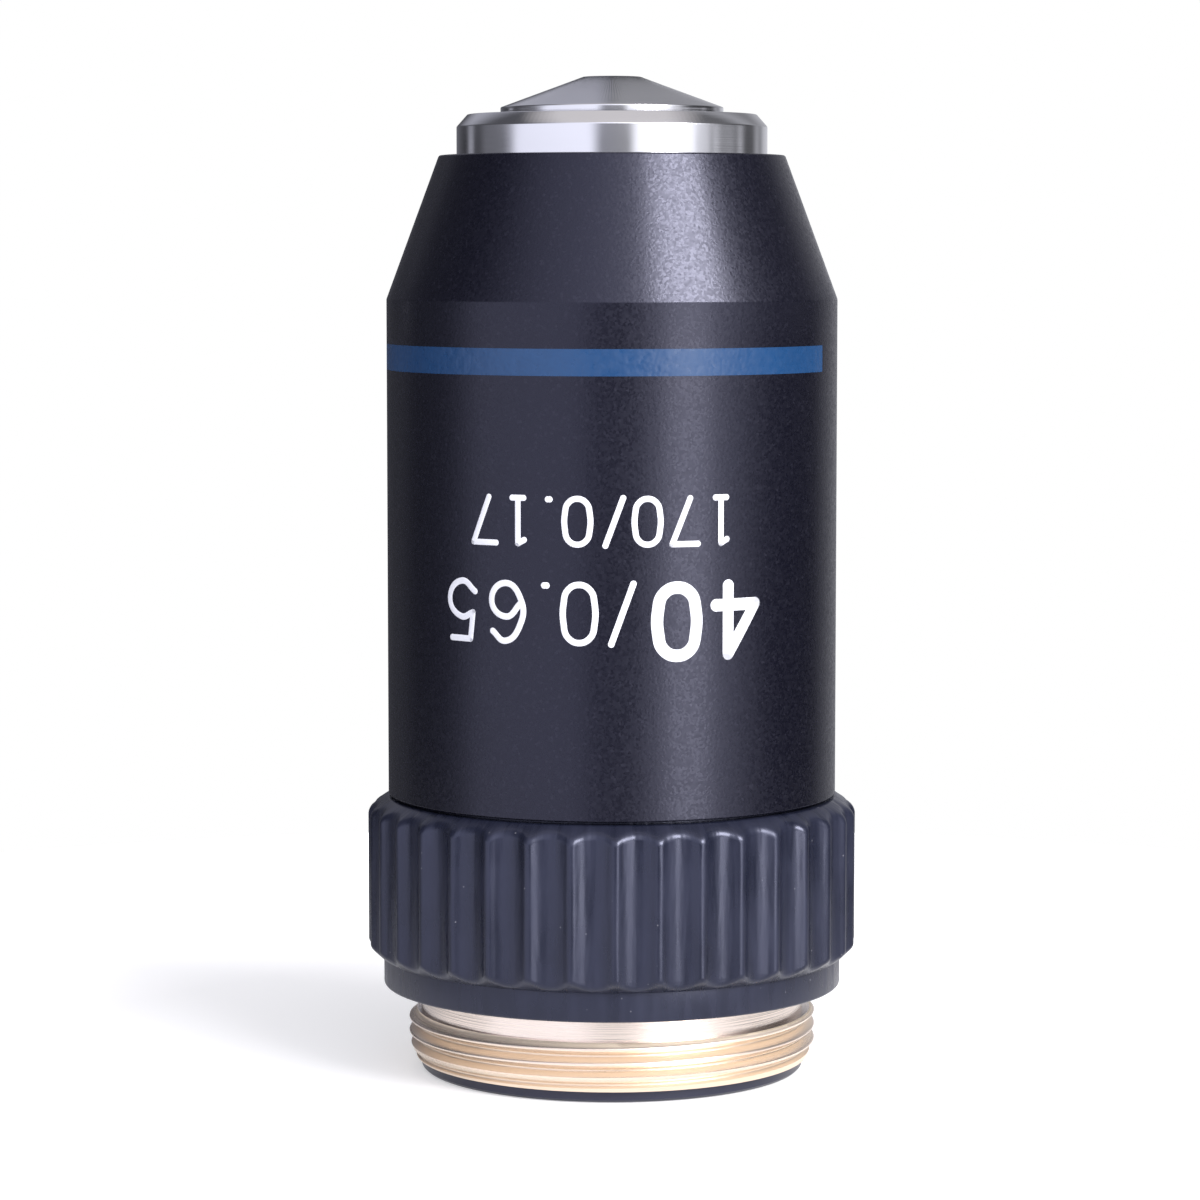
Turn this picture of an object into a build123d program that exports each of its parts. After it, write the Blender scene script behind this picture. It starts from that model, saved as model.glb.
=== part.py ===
from build123d import *
from math import cos, degrees, radians, sin, sqrt
import os

os.makedirs("parts", exist_ok=True)

# Microscope objective for a 160 mm tube, standing on its threaded end with the front lens up.
# The origin lies on the optical axis in the plane of the rear face, and +Z points to the front lens.
# The numbers on the barrel face -Y. All lengths are in millimetres.

# Clearances between pieces
slide_gap = 0.06  # radial, between the sliding nose and its two guides
seat_gap = 0.03  # radial, between pieces that are screwed or pushed into each other
cement_gap = 0.01  # between the two glasses of a doublet

# Objective thread, 20.32 mm nominal with 36 turns to the inch, shown at its crests
thread_radius = 10.12
thread_length = 2.45
thread_chamfer = 0.3
neck_depth = 0.62  # the plain neck lies this much under the crests
neck_length = 1.21  # from the thread to the shoulder
neck_seat_depth = 0.25  # the neck ends this far inside the shoulder
neck_recess_gap = 0.13  # from the crests out to the recess, which leaves the shoulder flat and clear
bush_step = 0.6  # from the neck in to the spigot that holds the bush
bush_wall = 0.9
bush_spigot_length = 6.25

# Black ring in the rear end of the bush
rear_lip_thickness = 0.55
rear_lip_inset = 0.62  # the lip lies this much under the crests
rear_lip_chamfer = 0.12
rear_ring_wall = 1.6
rear_spigot_length = 2.6
rear_countersink = 0.5
spanner_slot_width = 1.2
spanner_slot_depth = 0.3

# Sliding lens tube
tube_bore = 5.9
tube_wall = 1.73
tube_bevel_height = 0.6
tube_bevel_width = 0.53
tube_relief = 0.3
flange_thickness = 2.0
flange_gap = 0.08
nose_stand_out = 1.99  # front face of the tube above the rim of the barrel
nose_travel = 1.8
rear_end_clearance = 0.59  # from the pushed-in tube down to the bore of the bush
front_bore_relief = 0.97  # between the front cell and the stack behind it

# Barrel
spring_room = 2.07  # radial room between the lens tube and the barrel
barrel_wall = 1.4
barrel_straight = 24.44
cone_length = 7.02
rim_wall = 0.81
rim_break = 0.1
ledge_rise = 1.04  # the ledge that stops the nose, above the start of the cone

# Colour band, let into the barrel
band_drop = 2.16  # upper edge of the band under the start of the cone
band_height = 1.28
band_depth = 0.1
band_arc = 326.4
band_start_angle = 9.6  # from +X, behind the gap on the right of the numbers

# Knurled collar
collar_band_stand_out = 0.26
collar_band_height = 1.44
knurl_stand_out = 1.02
knurl_height = 7.95
knurl_foot_height = 0.55
knurl_foot_depth = 0.62
knurl_top_height = 0.64
knurl_top_depth = 0.97
flute_count = 36
flute_depth = 0.38
flute_start_angle = 5.6  # from +X, puts a crest under the middle of the numbers
crest_width = 0.3
collar_edge_break = 0.12
seat_rim_height = 0.12  # leaves the fine dark groove under the barrel
seat_rim_inset = 0.5
barrel_spigot_length = 6.28
bush_bore_relief = 0.3

# Guide pin
pin_radius = 0.75
pin_tip_clearance = 0.4  # from the bore of the lens tube out to the tip of the pin
pin_end_inset = 0.1

# Return spring and its seat
wire_radius = 0.4
spring_turns = 8.5
seat_ring_thickness = 0.8
seat_ring_inset = 0.15

# Front cell and front lens
cell_step_width = 1.2  # from the bore of the tube in to the spigot of the cell
cell_edge_width = 0.77  # rim of the cone that rests on the tube
cell_edge_height = 0.35
cell_cone_height = 1.5
cell_spigot_length = 4.0
cell_wall = 1.3
cell_floor_clearance = 0.75  # from the dome of the front lens to the floor of the bore
tip_wall = 0.35
front_face_radius = 1.05
front_bevel_width = 0.45
front_bevel_height = 0.75
front_edge_height = 0.2
front_dome_rise = 0.9

# Stack of lens cells in the tube. A rise is the height of a lens face from its edge to its pole.
lip_width = 0.5
lip_thickness = 0.8
cell_tail = 0.9  # wall of a cell behind its lens
meniscus_radius = 3.4
meniscus_thickness = 1.9
meniscus_front_rise = 0.76
meniscus_rear_rise = 1.5
front_doublet_radius = 3.9
front_doublet_rise = 0.75
rear_doublet_radius = 4.2
rear_doublet_rise = 0.73
crown_thickness = 2.6
flint_thickness = 0.9
cement_rise = 1.15
flint_rear_rise = 0.2
spacer_wall = 1.2
front_spacer_length = 1.6
rear_spacer_length = 3.0
pupil_stop_thickness = 0.4
pupil_radius = 2.3
lock_ring_length = 2.0
lock_ring_wall = 1.7
lock_slot_width = 1.0
lock_slot_depth = 0.8

# Radii, from the lens tube outwards
cell_radius = tube_bore - seat_gap
tube_radius = tube_bore + tube_wall
guide_bore = tube_radius + slide_gap
rim_radius = guide_bore + rim_wall
barrel_bore = tube_radius + spring_room
barrel_radius = barrel_bore + barrel_wall
spigot_radius = barrel_bore - seat_gap
flange_radius = barrel_bore - flange_gap
spring_radius = (tube_radius + barrel_bore) / 2
collar_band_radius = barrel_radius + collar_band_stand_out
knurl_radius = barrel_radius + knurl_stand_out
cell_spigot_radius = tube_bore - cell_step_width
cell_edge_radius = cell_spigot_radius + cell_edge_width
cell_bore_radius = cell_spigot_radius - cell_wall
front_edge_radius = front_face_radius + front_bevel_width
tip_radius = front_face_radius + tip_wall

# Radii of the bush and the rear ring
neck_radius = thread_radius - neck_depth
bush_spigot_radius = neck_radius - bush_step
bush_bore = bush_spigot_radius - bush_wall
rear_lip_radius = thread_radius - rear_lip_inset
rear_opening_radius = bush_bore - rear_ring_wall

# Heights, from the rear face upwards
thread_top_z = rear_lip_thickness + thread_length
shoulder_z = thread_top_z + neck_length
neck_top_z = shoulder_z + neck_seat_depth
bush_top_z = neck_top_z + bush_spigot_length
bush_bore_z = bush_top_z + bush_bore_relief
knurl_z = shoulder_z + collar_band_height
collar_top_z = knurl_z + knurl_height
barrel_z = collar_top_z + seat_rim_height
spigot_top_z = barrel_z + barrel_spigot_length
spring_z = spigot_top_z + seat_ring_thickness
cone_z = barrel_z + barrel_straight
rim_z = cone_z + cone_length
ledge_z = cone_z + ledge_rise
flange_z = ledge_z - flange_thickness
tube_front_z = rim_z + nose_stand_out
cell_spigot_z = tube_front_z - cell_spigot_length
tube_step_z = cell_spigot_z - front_bore_relief
tube_rear_z = bush_bore_z + nose_travel + rear_end_clearance
cell_edge_z = tube_front_z + cell_edge_height
front_z = cell_edge_z + cell_cone_height
front_edge_z = front_z - front_bevel_height - front_edge_height
front_pole_z = front_edge_z - front_dome_rise
pin_z = (tube_rear_z + spigot_top_z) / 2

# Thread bush: crests of the thread, plain neck, and the spigot that is screwed into the collar
with BuildPart() as thread_mount:
    with BuildSketch(Plane.XY.offset(rear_lip_thickness)):
        Circle(thread_radius)
    extrude(amount=thread_length)
    chamfer(thread_mount.edges().filter_by(GeomType.CIRCLE), thread_chamfer)
    with BuildSketch(Plane.XY.offset(thread_top_z)):
        Circle(neck_radius)
    extrude(amount=neck_length + neck_seat_depth)
    with BuildSketch(Plane.XY.offset(neck_top_z)):
        Circle(bush_spigot_radius)
    extrude(amount=bush_spigot_length)
    with BuildSketch(Plane.XY.offset(rear_lip_thickness)):
        Circle(bush_bore)
    extrude(amount=bush_top_z - rear_lip_thickness, mode=Mode.SUBTRACT)
thread_mount.part.label = "thread_mount"
export_step(thread_mount.part, "parts/thread_mount.step")

# Rear ring: a lip over the end of the bush, a spigot inside it, and two slots for a spanner
with BuildPart() as rear_stop_ring:
    with BuildSketch(Plane.XY):
        Circle(rear_lip_radius)
    extrude(amount=rear_lip_thickness)
    chamfer(rear_stop_ring.edges().group_by(Axis.Z)[0], rear_lip_chamfer)
    with BuildSketch(Plane.XY.offset(rear_lip_thickness)):
        Circle(bush_bore - seat_gap)
    extrude(amount=rear_spigot_length)
    with BuildSketch(Plane.XY):
        Circle(rear_opening_radius)
    extrude(amount=rear_lip_thickness + rear_spigot_length, mode=Mode.SUBTRACT)
    rear_mouth = rear_stop_ring.edges().filter_by(GeomType.CIRCLE).group_by(Axis.Z)[0]
    chamfer(rear_mouth.sort_by(SortBy.RADIUS)[0], rear_countersink)
    with BuildSketch(Plane.XY):
        Rectangle(2 * rear_lip_radius, spanner_slot_width)
    extrude(amount=spanner_slot_depth, mode=Mode.SUBTRACT)
rear_stop_ring.part.label = "rear_stop_ring"
export_step(rear_stop_ring.part, "parts/rear_stop_ring.step")

# A round cutter makes each flute, and neighbouring flutes leave a narrow crest between them
crest_angle = degrees(crest_width / knurl_radius)
flute_half_angle = radians((360 / flute_count - crest_angle) / 2)
flute_half_width = knurl_radius * sin(flute_half_angle)
flute_sagitta = flute_depth - knurl_radius * (1 - cos(flute_half_angle))
flute_radius = (flute_half_width**2 + flute_sagitta**2) / (2 * flute_sagitta)
flute_centre_radius = knurl_radius - flute_depth + flute_radius

# Knurled collar: turned outline, then the flutes, the bores and the hole for the guide pin
with BuildPart() as knurled_collar:
    with BuildSketch(Plane.XZ):
        with BuildLine():
            Polyline(
                (0, shoulder_z),
                (collar_band_radius, shoulder_z),
                (collar_band_radius, knurl_z),
                (knurl_radius - knurl_foot_depth, knurl_z),
                (knurl_radius, knurl_z + knurl_foot_height),
                (knurl_radius, collar_top_z - knurl_top_height),
                (knurl_radius - knurl_top_depth, collar_top_z),
                (barrel_radius - seat_rim_inset, collar_top_z),
                (barrel_radius - seat_rim_inset, barrel_z),
                (spigot_radius, barrel_z),
                (spigot_radius, spigot_top_z),
                (0, spigot_top_z),
                close=True,
            )
        make_face()
    revolve(axis=Axis.Z)
    chamfer(knurled_collar.edges().filter_by(GeomType.CIRCLE).group_by(Axis.Z)[0], collar_edge_break)
    with BuildSketch(Plane.XY.offset(knurl_z)):
        with PolarLocations(flute_centre_radius, flute_count, start_angle=flute_start_angle):
            Circle(flute_radius)
    extrude(amount=knurl_height, mode=Mode.SUBTRACT)
    with BuildSketch(Plane.XY.offset(shoulder_z)):
        Circle(thread_radius + neck_recess_gap)
    extrude(amount=neck_seat_depth, mode=Mode.SUBTRACT)
    with BuildSketch(Plane.XY.offset(shoulder_z)):
        Circle(bush_spigot_radius + seat_gap)
    extrude(amount=bush_bore_z - shoulder_z, mode=Mode.SUBTRACT)
    with BuildSketch(Plane.XY.offset(bush_bore_z)):
        Circle(guide_bore)
    extrude(amount=spigot_top_z - bush_bore_z, mode=Mode.SUBTRACT)
    with BuildSketch(Plane.XZ.offset(-spigot_radius)):
        with Locations((0, pin_z)):
            Circle(pin_radius + seat_gap)
    extrude(amount=spigot_radius, mode=Mode.SUBTRACT)
knurled_collar.part.label = "knurled_collar"
export_step(knurled_collar.part, "parts/knurled_collar.step")

# The band and its groove share one section and one start plane, and leave a gap beside the numbers
band_turn = radians(band_start_angle)
band_plane = Plane(
    origin=(0, 0, 0),
    x_dir=(cos(band_turn), sin(band_turn), 0),
    z_dir=(sin(band_turn), -cos(band_turn), 0),
)
band_centre = (barrel_radius - band_depth / 2, cone_z - band_drop - band_height / 2)

# Outer barrel: straight wall, cone, ledge for the nose and front guide, with the groove of the band
with BuildPart() as outer_barrel:
    with BuildSketch(Plane.XZ):
        with BuildLine():
            Polyline(
                (barrel_bore, barrel_z),
                (barrel_radius, barrel_z),
                (barrel_radius, cone_z),
                (rim_radius, rim_z),
                (guide_bore, rim_z),
                (guide_bore, ledge_z),
                (barrel_bore, ledge_z),
                close=True,
            )
        make_face()
    revolve(axis=Axis.Z)
    barrel_edges = outer_barrel.edges().filter_by(GeomType.CIRCLE).group_by(Axis.Z)
    chamfer([barrel_edges[0].sort_by(SortBy.RADIUS)[-1], *barrel_edges[-1]], rim_break)
    with BuildSketch(band_plane):
        with Locations(band_centre):
            Rectangle(band_depth, band_height)
    revolve(axis=Axis.Z, revolution_arc=band_arc, mode=Mode.SUBTRACT)
outer_barrel.part.label = "outer_barrel"
export_step(outer_barrel.part, "parts/outer_barrel.step")

with BuildPart() as colour_band:
    with BuildSketch(band_plane):
        with Locations(band_centre):
            Rectangle(band_depth, band_height)
    revolve(axis=Axis.Z, revolution_arc=band_arc)
colour_band.part.label = "colour_band"
export_step(colour_band.part, "parts/colour_band.step")

# Lens tube: bevelled front land, flange against the ledge, relieved middle, rear land and pin slot
with BuildPart() as lens_tube:
    with BuildSketch(Plane.XZ):
        with BuildLine():
            Polyline(
                (cell_spigot_radius + seat_gap, tube_front_z),
                (tube_radius - tube_bevel_width, tube_front_z),
                (tube_radius, tube_front_z - tube_bevel_height),
                (tube_radius, ledge_z),
                (flange_radius, ledge_z),
                (flange_radius, flange_z),
                (tube_radius - tube_relief, flange_z),
                (tube_radius - tube_relief, spigot_top_z + nose_travel),
                (tube_radius, spigot_top_z + nose_travel),
                (tube_radius, tube_rear_z),
                (tube_bore, tube_rear_z),
                (tube_bore, tube_step_z),
                (cell_spigot_radius + seat_gap, tube_step_z),
                close=True,
            )
        make_face()
    revolve(axis=Axis.Z)
    with BuildSketch(Plane.XZ.offset(-tube_radius)):
        with Locations((0, pin_z + nose_travel / 2)):
            SlotCenterToCenter(nose_travel, 2 * (pin_radius + slide_gap), rotation=90)
    extrude(amount=tube_radius, mode=Mode.SUBTRACT)
lens_tube.part.label = "lens_tube"
export_step(lens_tube.part, "parts/lens_tube.step")

# Guide pin: pressed through the spigot of the collar, its tip in the slot of the lens tube
pin_tip_radius = tube_bore + pin_tip_clearance
pin_end_radius = spigot_radius - pin_end_inset
with BuildPart() as guide_pin:
    with BuildSketch(Plane.XZ.offset(-pin_end_radius)):
        with Locations((0, pin_z)):
            Circle(pin_radius)
    extrude(amount=pin_end_radius - pin_tip_radius)
guide_pin.part.label = "guide_pin"
export_step(guide_pin.part, "parts/guide_pin.step")

# Ring on the spigot that the spring stands on
with BuildPart() as spring_seat:
    with BuildSketch(Plane.XY.offset(spigot_top_z)):
        Circle(spigot_radius - seat_ring_inset)
        Circle(guide_bore + seat_ring_inset, mode=Mode.SUBTRACT)
    extrude(amount=seat_ring_thickness)
spring_seat.part.label = "spring_seat"
export_step(spring_seat.part, "parts/spring_seat.step")

# Return spring between its seat and the flange, with both ends ground flat
spring_height = flange_z - spring_z
with BuildPart() as return_spring:
    with BuildLine() as spring_line:
        Helix(
            pitch=spring_height / spring_turns,
            height=spring_height,
            radius=spring_radius,
            center=(0, 0, spring_z),
        )
    with BuildSketch(Plane(origin=spring_line.line @ 0, z_dir=spring_line.line % 0)):
        Circle(wire_radius)
    sweep(path=spring_line.line, is_frenet=True)
    split(bisect_by=Plane.XY.offset(spring_z), keep=Keep.TOP)
    split(bisect_by=Plane.XY.offset(flange_z), keep=Keep.BOTTOM)
return_spring.part.label = "return_spring"
export_step(return_spring.part, "parts/return_spring.step")

# Front lens: small flat face, bevel under the lip of the cell, short edge and a steep dome behind
with BuildPart() as front_lens:
    with BuildSketch(Plane.XZ):
        with BuildLine():
            Polyline(
                (0, front_pole_z),
                (0, front_z),
                (front_face_radius, front_z),
                (front_edge_radius, front_z - front_bevel_height),
                (front_edge_radius, front_edge_z),
            )
            dome_curve = (front_edge_radius**2 + front_dome_rise**2) / (2 * front_dome_rise)
            RadiusArc((0, front_pole_z), (front_edge_radius, front_edge_z), -dome_curve)
        make_face()
    revolve(axis=Axis.Z)
front_lens.part.label = "front_lens"
export_step(front_lens.part, "parts/front_lens.step")

# Front cell: the cone around the front lens, its thin edge on the lens tube, and its spigot inside
with BuildPart() as front_cell:
    with BuildSketch(Plane.XZ):
        with BuildLine():
            Polyline(
                (front_face_radius + seat_gap, front_z),
                (tip_radius, front_z),
                (cell_edge_radius, cell_edge_z),
                (cell_edge_radius, tube_front_z),
                (cell_spigot_radius, tube_front_z),
                (cell_spigot_radius, cell_spigot_z),
                (cell_bore_radius, cell_spigot_z),
                (cell_bore_radius, front_pole_z - cell_floor_clearance),
                (front_edge_radius + seat_gap, front_pole_z - cell_floor_clearance),
                (front_edge_radius + seat_gap, front_z - front_bevel_height),
                close=True,
            )
        make_face()
    revolve(axis=Axis.Z)
front_cell.part.label = "front_cell"
export_step(front_cell.part, "parts/front_cell.step")


def sphere_radius(rise, radius):
    """Radius of the spherical face that rises this much between its edge and its pole."""
    return (radius**2 + rise**2) / (2 * rise)


def export_cell(name, top_z, length, lens_radius):
    """Turned cell with a lip at its front that holds the lens."""
    with BuildPart() as cell:
        with BuildSketch(Plane.XY.offset(top_z)):
            Circle(cell_radius)
        extrude(amount=-length)
        with BuildSketch(Plane.XY.offset(top_z)):
            Circle(lens_radius - lip_width)
        extrude(amount=-length, mode=Mode.SUBTRACT)
        with BuildSketch(Plane.XY.offset(top_z - lip_thickness)):
            Circle(lens_radius + seat_gap)
        extrude(amount=lip_thickness - length, mode=Mode.SUBTRACT)
    cell.part.label = name
    export_step(cell.part, f"parts/{name}.step")


def export_ring(name, top_z, length, wall, slot_width=0.0, slot_depth=0.0):
    """Ring across the bore of the lens tube, with an optional spanner slot in its rear face."""
    with BuildPart() as ring:
        with BuildSketch(Plane.XY.offset(top_z)):
            Circle(cell_radius)
            Circle(cell_radius - wall, mode=Mode.SUBTRACT)
        extrude(amount=-length)
        if slot_width > 0:
            with BuildSketch(Plane.XY.offset(top_z - length)):
                Rectangle(2 * cell_radius, slot_width)
            extrude(amount=slot_depth, mode=Mode.SUBTRACT)
    ring.part.label = name
    export_step(ring.part, f"parts/{name}.step")


def export_lens(name, radius, front_pole, front_rise, rear_pole, rear_rise):
    """Lens between two spherical faces. A rise is positive where the edge lies in front of the pole."""
    front_edge = front_pole + front_rise
    rear_edge = rear_pole + rear_rise
    with BuildPart() as lens:
        with BuildSketch(Plane.XZ):
            with BuildLine():
                RadiusArc((0, front_pole), (radius, front_edge), -sphere_radius(front_rise, radius))
                Line((radius, front_edge), (radius, rear_edge))
                RadiusArc((0, rear_pole), (radius, rear_edge), -sphere_radius(rear_rise, radius))
                Line((0, rear_pole), (0, front_pole))
            make_face()
        revolve(axis=Axis.Z)
    lens.part.label = name
    export_step(lens.part, f"parts/{name}.step")


def export_doublet(name, cell_z, radius, first_rise):
    """Crown lens cemented to a flint lens, in their cell. Returns the height of the cell's rear face."""
    first_curve = sphere_radius(first_rise, radius)
    # The domed face passes through the lip and touches its inner edge
    lip_rise = first_curve - sqrt(first_curve**2 - (radius - lip_width) ** 2)
    crown_front_z = cell_z - lip_thickness + lip_rise
    crown_rear_z = crown_front_z - crown_thickness
    flint_front_z = crown_rear_z - cement_gap
    flint_rear_z = flint_front_z - flint_thickness
    cell_rear_z = flint_rear_z - cell_tail
    export_cell(f"{name}_cell", cell_z, cell_z - cell_rear_z, radius)
    export_lens(f"{name}_crown", radius, crown_front_z, -first_rise, crown_rear_z, cement_rise)
    export_lens(f"{name}_flint", radius, flint_front_z, cement_rise, flint_rear_z, flint_rear_rise)
    return cell_rear_z


# Meniscus behind the front lens: its hollow face looks forward and its edge rests on the lip
meniscus_front_z = tube_step_z - lip_thickness - meniscus_front_rise
meniscus_rear_z = meniscus_front_z - meniscus_thickness
meniscus_cell_z = meniscus_rear_z - cell_tail
export_cell("meniscus_cell", tube_step_z, tube_step_z - meniscus_cell_z, meniscus_radius)
export_lens(
    "meniscus_lens",
    meniscus_radius,
    meniscus_front_z,
    meniscus_front_rise,
    meniscus_rear_z,
    meniscus_rear_rise,
)

# The two doublets with a spacer in front of each, then the stop at the exit pupil and the lock ring
export_ring("front_spacer", meniscus_cell_z, front_spacer_length, spacer_wall)
front_doublet_z = meniscus_cell_z - front_spacer_length
rear_spacer_z = export_doublet("front_doublet", front_doublet_z, front_doublet_radius, front_doublet_rise)
export_ring("rear_spacer", rear_spacer_z, rear_spacer_length, spacer_wall)
rear_doublet_z = rear_spacer_z - rear_spacer_length
pupil_stop_z = export_doublet("rear_doublet", rear_doublet_z, rear_doublet_radius, rear_doublet_rise)
export_ring("pupil_stop", pupil_stop_z, pupil_stop_thickness, cell_radius - pupil_radius)
lock_ring_z = pupil_stop_z - pupil_stop_thickness
export_ring(
    "lens_lock_ring",
    lock_ring_z,
    lock_ring_length,
    lock_ring_wall,
    lock_slot_width,
    lock_slot_depth,
)
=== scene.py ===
import bmesh
import bpy
from math import atan2, cos, degrees, hypot, pi, radians, sin, sqrt
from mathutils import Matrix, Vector


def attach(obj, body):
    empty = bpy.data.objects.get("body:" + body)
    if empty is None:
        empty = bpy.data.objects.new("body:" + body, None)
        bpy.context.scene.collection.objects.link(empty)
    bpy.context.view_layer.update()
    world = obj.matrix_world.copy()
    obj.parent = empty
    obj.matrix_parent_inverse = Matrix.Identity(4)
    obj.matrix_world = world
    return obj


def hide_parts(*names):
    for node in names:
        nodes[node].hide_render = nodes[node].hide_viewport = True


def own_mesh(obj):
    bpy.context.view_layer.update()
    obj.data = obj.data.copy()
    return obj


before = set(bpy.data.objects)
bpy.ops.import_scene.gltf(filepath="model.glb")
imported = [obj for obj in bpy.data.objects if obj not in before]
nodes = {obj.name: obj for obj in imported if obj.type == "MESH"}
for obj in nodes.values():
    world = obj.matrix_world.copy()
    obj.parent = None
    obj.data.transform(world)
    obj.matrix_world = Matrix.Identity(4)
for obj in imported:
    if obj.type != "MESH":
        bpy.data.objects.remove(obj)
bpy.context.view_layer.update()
mm = 0.001  # all sizes below are in millimetres unless they say otherwise
near = 0.004 * mm  # a point this close to a ring or an outline lies on it
print("frame loaded,", len(nodes), "CAD nodes")


# Ways of working that the turned and screwed pieces share

def startAlone():
    if bpy.context.mode != "OBJECT":
        bpy.ops.object.mode_set(mode="OBJECT")
    bpy.ops.object.select_all(action="DESELECT")


def takeUp(*pieces):
    # selects these pieces and nothing else, with the first one active
    startAlone()
    for piece in pieces:
        piece.select_set(True)
    bpy.context.view_layer.objects.active = pieces[0]


def settle(name=None):
    # puts the active object's place, turn and size into its mesh, and names it
    piece = bpy.context.object
    if name:
        piece.name = name
        piece.data.name = name
    bpy.ops.object.transform_apply(location=True, rotation=True, scale=True)
    return piece


def selectWhere(piece, test):
    # selects the vertices whose place passes the test, and what lies between them
    bpy.ops.mesh.select_mode(type="VERT")
    bpy.ops.mesh.select_all(action="DESELECT")
    shape = bmesh.from_edit_mesh(piece.data)
    for vertex in shape.verts:
        vertex.select = test(vertex.co)
    shape.select_flush(True)
    bmesh.update_edit_mesh(piece.data)


def onRing(place, radius, height):
    return abs(hypot(place.x, place.y) - radius * mm) < near and abs(place.z - height * mm) < near


def selectRings(piece, corners):
    selectWhere(piece, lambda place: any(onRing(place, *corner) for corner in corners))


def firstRing(name, radius, height, count, turn=0.0):
    # a circle of edges round the optical axis, left in edit mode with all of it selected
    startAlone()
    bpy.ops.mesh.primitive_circle_add(
        vertices=count, radius=radius * mm, location=(0, 0, height * mm), rotation=(0, 0, radians(turn)))
    piece = settle(name)
    bpy.ops.object.mode_set(mode="EDIT")
    bpy.ops.mesh.select_mode(type="VERT")
    bpy.ops.mesh.select_all(action="SELECT")
    return piece


def extrudeBy(out, up):
    bpy.ops.mesh.extrude_region_move(TRANSFORM_OT_translate={"value": (out * mm, 0, up * mm)})


def followSection(corners):
    # extrudes the selected ring from one (radius, height) corner to the next
    for start, end in zip(corners, corners[1:]):
        extrudeBy(0, end[1] - start[1])
        grow = end[0] / start[0]
        if abs(grow - 1) > 1e-9:
            bpy.ops.transform.resize(value=(grow, grow, 1))


def joinRings(piece, first, last):
    selectRings(piece, [first, last])
    bpy.ops.mesh.bridge_edge_loops()


def roundEdges(piece, corners, width, segments=3):
    selectRings(piece, corners)
    bpy.ops.mesh.bevel(offset=width * mm, segments=segments, affect="EDGES")


def turnPiece(name, corners, rounded, width, count, turn=0.0):
    # a closed section of (radius, height) corners, turned round the optical axis
    piece = firstRing(name, *corners[0], count, turn)
    followSection(corners)
    joinRings(piece, corners[0], corners[-1])
    roundEdges(piece, rounded, width)
    return piece


def evenNormals():
    bpy.ops.mesh.select_all(action="SELECT")
    bpy.ops.mesh.normals_make_consistent(inside=False)


def shadeTurned(piece, angle=35):
    # outward normals, then flats that stay flat beside their rounded edges
    evenNormals()
    if bmesh.from_edit_mesh(piece.data).calc_volume(signed=True) < 0:
        bpy.ops.mesh.flip_normals()
    bpy.ops.object.mode_set(mode="OBJECT")
    bpy.ops.object.shade_smooth_by_angle(angle=radians(angle))
    bpy.ops.object.modifier_add(type="WEIGHTED_NORMAL")
    piece.modifiers[-1].keep_sharp = True
    bpy.ops.object.modifier_apply(modifier=piece.modifiers[-1].name)


def screwUp(piece, rise, turns, steps, repeats=1):
    # sweeps the piece's profile round the axis as it rises, and leaves it in edit mode, all selected
    bpy.ops.object.modifier_add(type="SCREW")
    screw = piece.modifiers[-1]
    screw.axis = "Z"
    screw.angle = radians(360 * turns)
    screw.screw_offset = rise * mm
    screw.iterations = repeats
    screw.steps = steps
    screw.render_steps = steps
    screw.use_merge_vertices = False
    bpy.ops.object.modifier_apply(modifier=screw.name)
    bpy.ops.object.mode_set(mode="EDIT")
    bpy.ops.mesh.select_all(action="SELECT")


def cutEnds(low, high):
    # cuts what was screwed square at both heights, and closes it
    for height, above in ((low, False), (high, True)):
        bpy.ops.mesh.select_all(action="SELECT")
        bpy.ops.mesh.bisect(
            plane_co=(0, 0, height * mm), plane_no=(0, 0, 1), use_fill=True,
            clear_inner=not above, clear_outer=above, threshold=1e-7)


def crossBar(radius, wall, height):
    # a round bar along Y, across the back of a wall of this radius, to cut with
    startAlone()
    bpy.ops.mesh.primitive_cylinder_add(
        vertices=48, radius=radius * mm, depth=wall * mm,
        location=(0, wall * mm, height * mm), rotation=(pi / 2, 0, 0))
    return settle()


def cutWith(piece, cutter, operation="DIFFERENCE"):
    # applies a boolean with the cutter, throws the cutter away and goes on in edit mode
    takeUp(piece)
    bpy.ops.object.modifier_add(type="BOOLEAN")
    modifier = piece.modifiers[-1]
    modifier.operation = operation
    modifier.solver = "EXACT"
    modifier.object = cutter
    bpy.ops.object.modifier_apply(modifier=modifier.name)
    bpy.data.objects.remove(cutter, do_unlink=True)
    bpy.ops.object.mode_set(mode="EDIT")


def standFor(piece, node, body):
    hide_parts(node)
    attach(piece, body)


# Outer barrel: straight wall, cone and rim, with the groove that the colour band lies in

barrel = {
    "radius": 11.1, "bore": 9.7, "bottom": 13.72, "cone": 38.16, "rim": 45.18,
    "rimRadius": 8.5, "guide": 7.69, "ledge": 39.2, "edge": 0.09, "coneEdge": 0.04,
    "bandLow": 34.72, "bandHigh": 36.0, "bandDepth": 0.1, "bandStart": 9.6, "bandArc": 326.4,
    "bandGap": 0.004, "bandEndGap": 0.05,  # left round the enamel, and at its ends in degrees
    "sides": 375,  # so many that both ends of the band's arc fall on a corner
}


def inBand(place, b):
    slack = 0.01  # degrees
    turn = (degrees(atan2(place.y, place.x)) - b["bandStart"]) % 360
    inArc = turn < b["bandArc"] + slack or turn > 360 - slack
    inHeight = b["bandLow"] * mm - near < place.z < b["bandHigh"] * mm + near
    return inArc and inHeight and abs(hypot(place.x, place.y) - b["radius"] * mm) < near


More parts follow.
